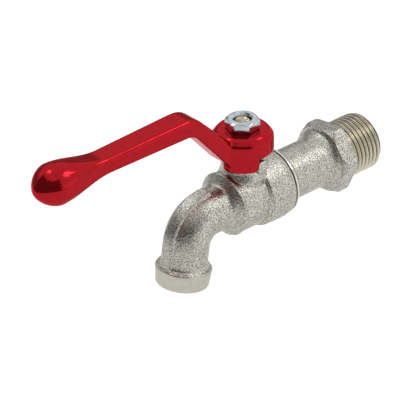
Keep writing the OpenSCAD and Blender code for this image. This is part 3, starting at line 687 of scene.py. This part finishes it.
cone_a = atan2(cap_cone_w, cap_cone_h)
cap_top_r = cap_r - cap_cone_w
cap = turned(rounded([(0, cap_low_z, 0), (cap_r, cap_low_z, 0.3),
                      (cap_r, cap_z - cap_cone_h, cap_round), (cap_top_r, cap_z, cap_round),
                      (0, cap_z, 0)]), on_stem())

def skirt_wall():
    """A quarter of a ring that hangs from the cap between the stops, its corners rounded"""
    end_x = lug_w/2 + stop_gap
    half = (sqrt(cap_r**2 - end_x**2) - end_x)/sqrt(2) + 0.15
    bm = bmesh.new()
    outline = rounded([(0, skirt_low_z, 0), (half, skirt_low_z, 1.7), (half, cap_low_z + 1, 0),
                       (-half, cap_low_z + 1, 0), (-half, skirt_low_z, 1.7),
                       (0, skirt_low_z, 0)])[:-1]
    face = bm.faces.new([bm.verts.new((x, 0, z)) for x, z in outline])
    pulled(bm, [face], (0, -2*cap_r, 0))
    bmesh.ops.transform(bm, matrix=on_stem() @ Matrix.Rotation(pi/4, 4, "Z"), verts=bm.verts)
    wall = piece("skirt", bm, [red_enamel])
    ring = turned([(0, skirt_low_z - 1), (cap_r, skirt_low_z - 1), (cap_r, cap_low_z + 0.9),
                   (0, cap_low_z + 0.9)], on_stem())
    return combine(wall, [piece("ring", ring, [red_enamel])], "INTERSECT")

def block(low, high):
    """A box between two corners in millimetres"""
    bm = bmesh.new()
    middle, size = (Vector(low) + Vector(high))/2, Vector(high) - Vector(low)
    bmesh.ops.create_cube(bm, size=1, matrix=Matrix.Scale(mm, 4) @ Matrix.Translation(middle)
                          @ Matrix.Diagonal((*size, 1)))
    return bm

def red(name, bm):
    return piece(name, bm, [red_enamel])

lug_play = 0.5
lug_room = turned([(0, 9), (lug_r + 0.15, 9), (lug_r + 0.15, boss_z + lug_play),
                   (0, boss_z + lug_play)], on_stem())
lug_path = block((-2*cap_r, stem_y - 2*cap_r, 0),
                 (lug_w/2 + stop_gap, stem_y, boss_z + lug_play))
hollow = turned([(0, 10), (cap_in_r, 10), (cap_in_r, ceiling_z), (0, ceiling_z)], on_stem())
stem_hole = turned([(0, 20), (4.05, 20), (4.05, 30), (0, 30)], on_stem())
lever = red("lever_casting", cap)
combine(lever, [red("handle", handle)], "UNION")
combine(lever, [red("lug_room", lug_room), red("lug_path", lug_path)], "DIFFERENCE")
combine(lever, [skirt_wall()], "UNION")
combine(lever, [red("hollow", hollow), red("stem_hole", stem_hole)], "DIFFERENCE")
cast(lever, grain=0.25, passes=4)
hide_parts("lever")
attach(lever, "handle")

# Lever nut: a hexagon nut in bright bluish zinc that clamps the lever on the stem's thread.
zinc, zinc_tree, zinc_shader = new_material("bright_zinc", Metallic=1, Roughness=0.12)
blush = noise(zinc_tree, object_point(zinc_tree), 350, 3)
zinc_tree.links.new(ramp(zinc_tree, blush, (0.35, (0.44, 0.51, 0.58)), (0.65, (0.68, 0.72, 0.75))),
                    zinc_shader.inputs["Base Color"])
zinc_tree.links.new(relief(zinc_tree, noise(zinc_tree, object_point(zinc_tree), 1500), 0.008),
                    zinc_shader.inputs["Normal"])
nut_af, nut_h, nut_turn, nut_z = 10.5, 3.8, radians(10), cap_z + 0.03
nut_bar = hexagon(nut_af, 0, nut_h, nut_turn - pi/2)
bmesh.ops.transform(nut_bar, matrix=on_stem(nut_z), verts=nut_bar.verts)
lever_nut = piece("zinc_nut", nut_bar, [zinc])
nut_corner_r = nut_af/2/cos(pi/6)
nut_flat_r = 0.93*nut_af/2
nut_bevel_t = (nut_corner_r + 0.3 - nut_flat_r)*tan(pi/6)
nut_cone = turned([(0, -0.1), (nut_flat_r, 0), (nut_corner_r + 0.3, nut_bevel_t),
                   (nut_corner_r + 0.3, nut_h - nut_bevel_t), (nut_flat_r, nut_h),
                   (0, nut_h + 0.1)], on_stem(nut_z))
combine(lever_nut, [piece("nut_cone", nut_cone, [zinc])], "INTERSECT")
softened(lever_nut, 0.1)
nut_bore = turned([(0, -0.2), (3.6, -0.2), (3.03, 0.5), (3.03, nut_h - 0.6), (3.7, nut_h + 0.2),
                   (0, nut_h + 0.2)], on_stem(nut_z), 64)
combine(lever_nut, [piece("nut_bore", nut_bore, [zinc])], "DIFFERENCE")
crisp(lever_nut)
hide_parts("lever_nut")
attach(lever_nut, "handle")
